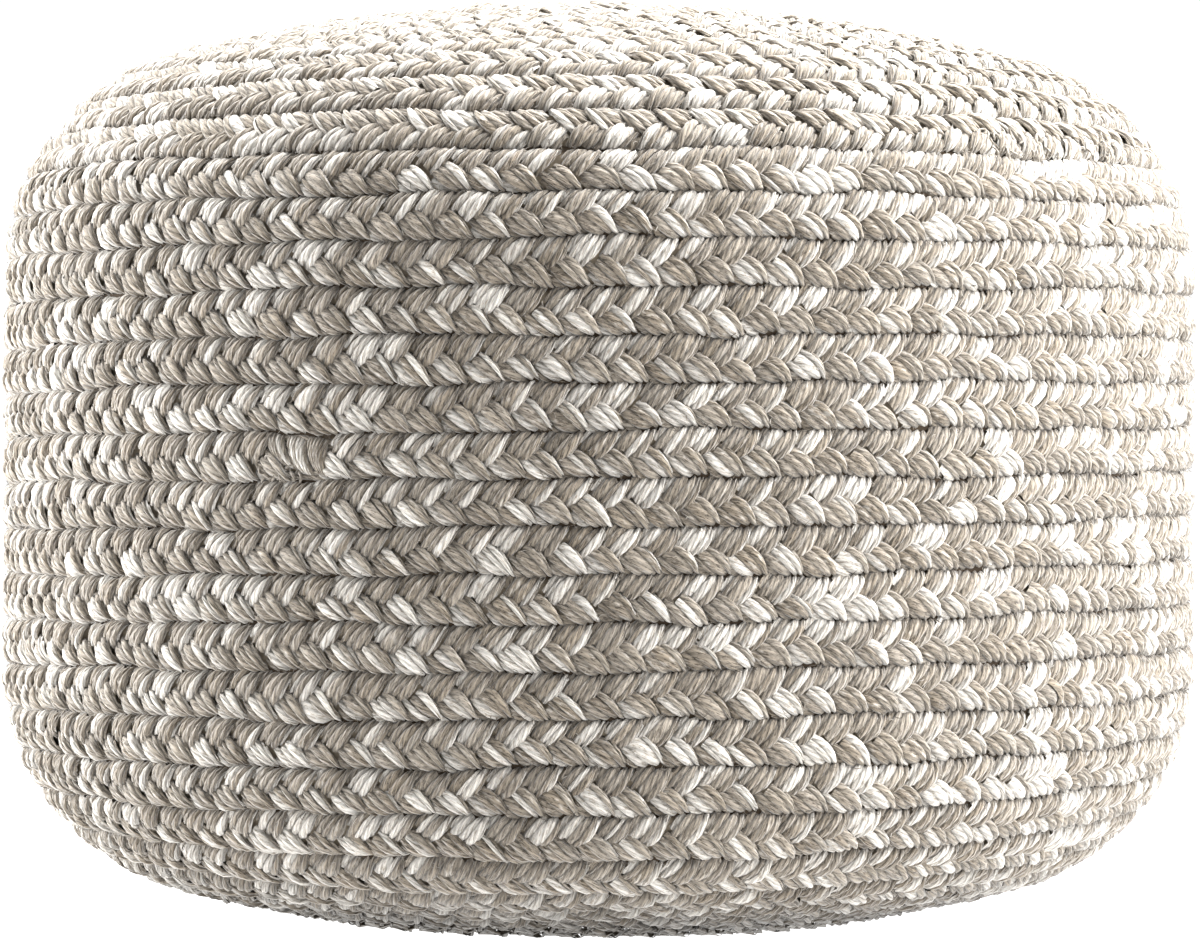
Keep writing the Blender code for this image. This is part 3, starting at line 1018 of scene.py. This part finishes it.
# The floor lies just under the pouf, and is matt where it is lit
FLOOR_REACH = 30
FLOOR_GAP = 0.0005
OPAL_ACRYLIC = "#aaaaaa"
FLOOR_GLOW = 1.2
corners = [(x * FLOOR_REACH, y * FLOOR_REACH, 0) for x, y in ((-1, -1), (1, -1), (1, 1), (-1, 1))]
floor_mesh = bpy.data.meshes.new("studio_floor")
floor_mesh.from_pydata(corners, [], [(0, 1, 2, 3)])
floor = bpy.data.objects.new("studio_floor", floor_mesh)
scene.collection.objects.link(floor)
floor.location.z = -FLOOR_GAP
acrylic, _, acrylic_shader = new_material("lit_opal_acrylic")
acrylic_shader.inputs["Base Color"].default_value = linear(OPAL_ACRYLIC)
acrylic_shader.inputs["Roughness"].default_value = 0.9
acrylic_shader.inputs["Emission Color"].default_value = (1.0, 1.0, 1.0, 1.0)
acrylic_shader.inputs["Emission Strength"].default_value = FLOOR_GLOW
floor_mesh.materials.append(acrylic)


def studio_light(name, place, aim, size, watts):
    """A rectangular area light at a place, turned towards a point."""
    light = bpy.data.lights.new(name, "AREA")
    light.shape = "RECTANGLE"
    light.size, light.size_y = size
    light.energy = watts
    lamp = bpy.data.objects.new(name, light)
    scene.collection.objects.link(lamp)
    lamp.location = place
    lamp.rotation_euler = (Vector(aim) - Vector(place)).to_track_quat("-Z", "Y").to_euler()


studio_light("key_right", (2.41, 0.21, 0.83), aim=(0.0, 0.0, 0.18), size=(2.6, 2.2), watts=89.0)
studio_light("fill_right", (0.70, -0.45, 0.30), aim=(0.2, -0.1, 0.18), size=(0.5, 0.8), watts=6.0)
studio_light("fill_left", (-0.75, 0.0, 0.30), aim=(-0.2, 0.0, 0.18), size=(0.6, 0.8), watts=15.5)
studio_light("overhead", (0.05, -0.10, 0.95), aim=(0.05, -0.05, 0.35), size=(1.0, 0.6), watts=22.0)
studio_light("high_right", (0.55, -0.35, 0.80), aim=(0.1, -0.05, 0.33), size=(0.6, 0.6), watts=10.0)

CAMERA_DISTANCE = 2.54
CAMERA_HEIGHT = 0.1858
LENS_MM = 177.3
SENSOR_MM = 36.0
# The picture's width and how far its middle is off the lens's axis, in pixels
PICTURE_WIDTH = 1200
SHIFT_RIGHT = 1
SHIFT_UP = 7
camera_data = bpy.data.cameras.new("photo_camera")
camera_data.lens = LENS_MM
camera_data.sensor_width = SENSOR_MM
camera_data.sensor_fit = "HORIZONTAL"
camera_data.shift_x = SHIFT_RIGHT / PICTURE_WIDTH
camera_data.shift_y = SHIFT_UP / PICTURE_WIDTH
camera = bpy.data.objects.new("photo_camera", camera_data)
camera.location = (0.0, -CAMERA_DISTANCE, CAMERA_HEIGHT)
camera.rotation_euler = (math.pi / 2, 0.0, 0.0)
scene.collection.objects.link(camera)
scene.camera = camera
